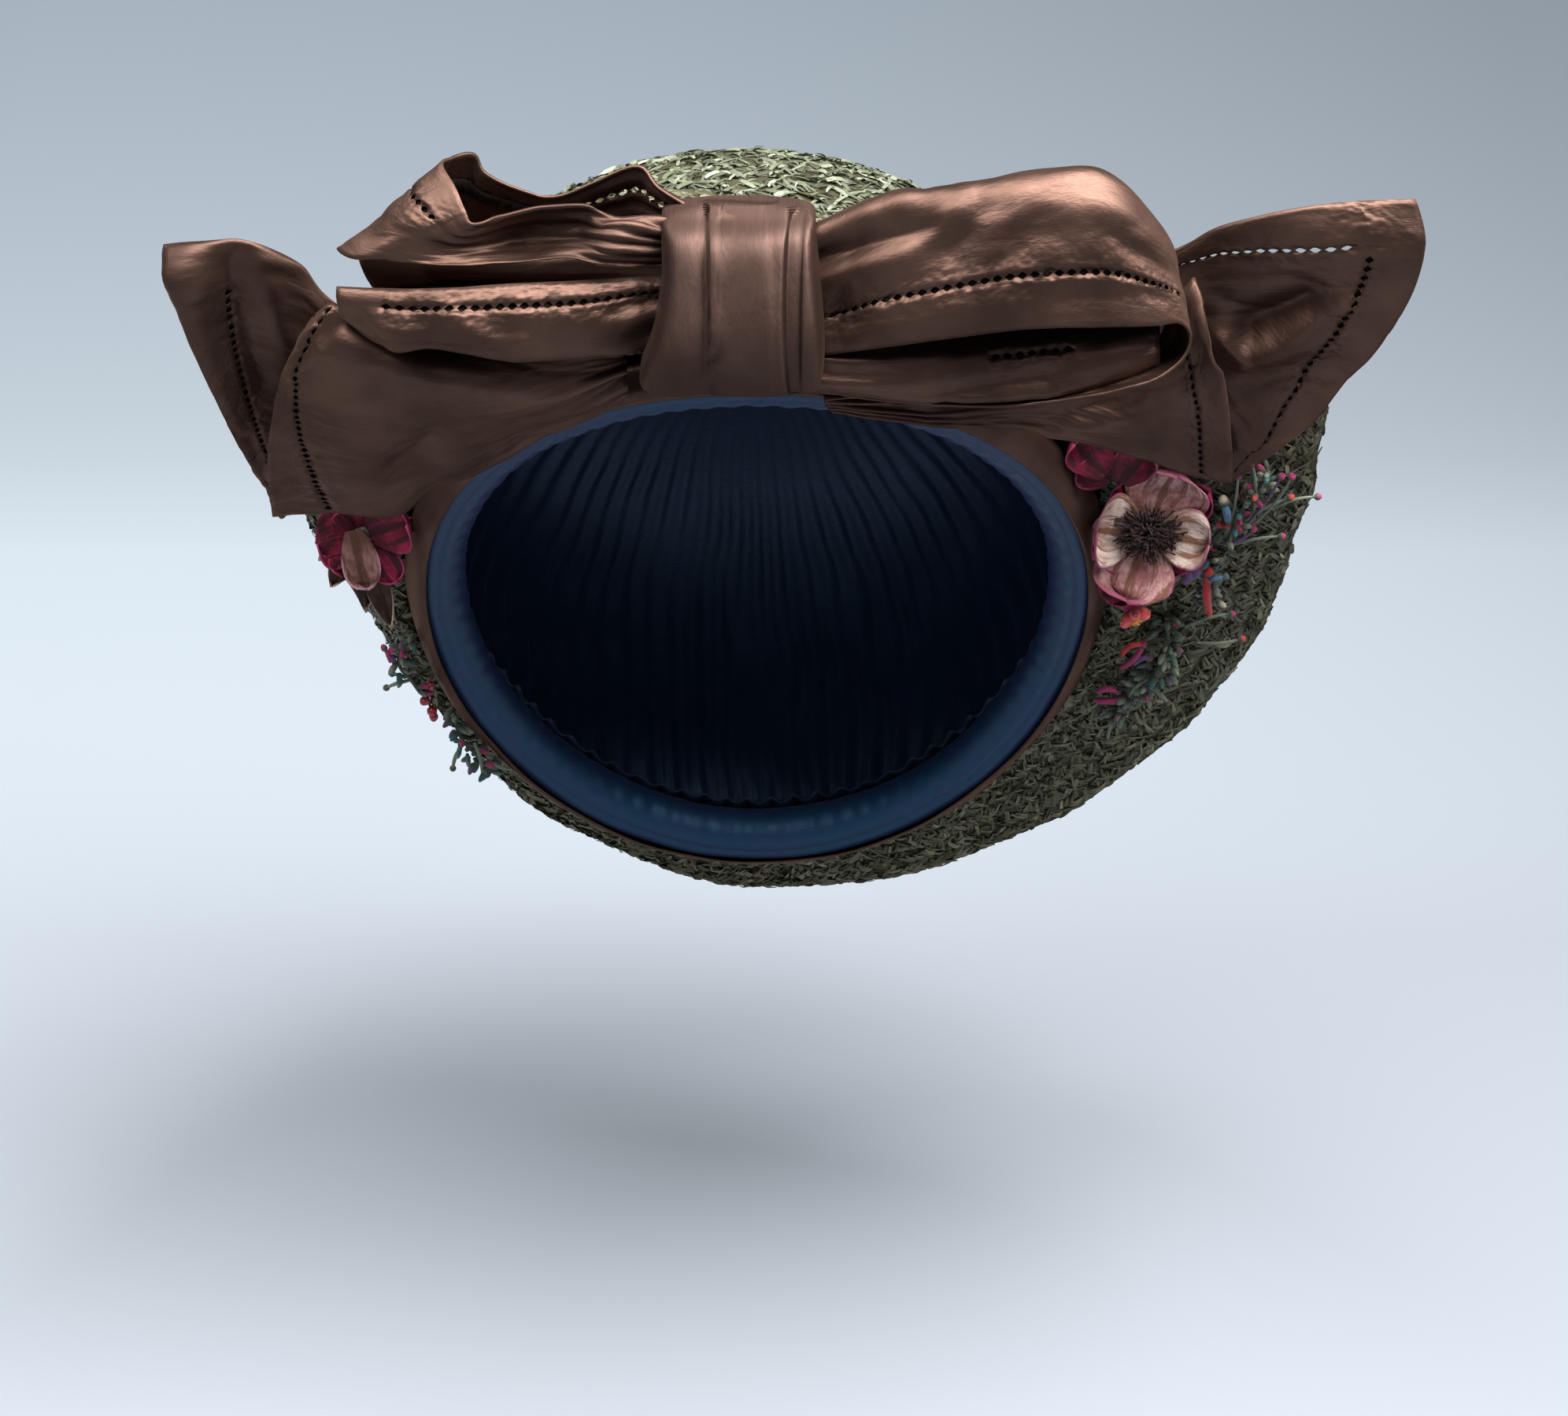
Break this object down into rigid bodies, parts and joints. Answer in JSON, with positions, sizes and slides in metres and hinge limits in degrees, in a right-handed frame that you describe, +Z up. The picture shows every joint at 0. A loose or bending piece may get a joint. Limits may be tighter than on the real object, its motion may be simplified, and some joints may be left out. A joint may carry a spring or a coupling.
{
  "type": "straw toque hat with satin bow",
  "caption": "Worn-tilted straw toque with turned brim, padded silk roll round the head opening, gathered lining, pleated satin bow and velvet flowers.",
  "frame": {"origin": "centre of the head opening, level with the middle of the padded roll at its two sides", "axes": "+X towards the right of someone facing the bow, +Y to the back, +Z up, with the hat tilted 58 degrees back as it is worn"},
  "size_m": [0.3109, 0.23, 0.2682],
  "materials": {
    "straw": "sewn shiny green straw braid",
    "roll_silk": "shot silk, blue and purple",
    "lining_silk": "gathered silk",
    "satin": "brown satin with openwork hems",
    "pale_velvet": "velvet",
    "crimson_velvet": "velvet",
    "brown_velvet": "velvet",
    "coral_velvet": "velvet",
    "stamens": "tufted threads",
    "heather": "knobbly chenille",
    "berries": "waxed"
  },
  "bodies": {
    "root": {"straw_body": "straw", "head_lining": "lining_silk", "bandeau_roll": "roll_silk", "satin_band": "satin", "bow_knot": "satin", "bow_loop_left_upper": "satin", "bow_loop_left_lower": "satin", "bow_loop_right": "satin", "bow_tail_left_lower": "satin", "bow_tail_left_far": "satin", "bow_tail_right_lower": "satin", "bow_tail_right_far": "satin", "anemone_right": "pale_velvet", "anemone_right_centre": "stamens", "crimson_petals_right": "crimson_velvet", "crimson_petals_left": "crimson_velvet", "pale_petals_left": "pale_velvet", "leaf_left": "brown_velvet", "coral_blossom_right": "coral_velvet", "berries_left": "berries", "heather_right_upper": "heather", "heather_right_middle": "heather", "heather_right_lower": "heather", "heather_left_upper": "heather", "heather_left_lower": "heather"}
  },
  "joints": []
}
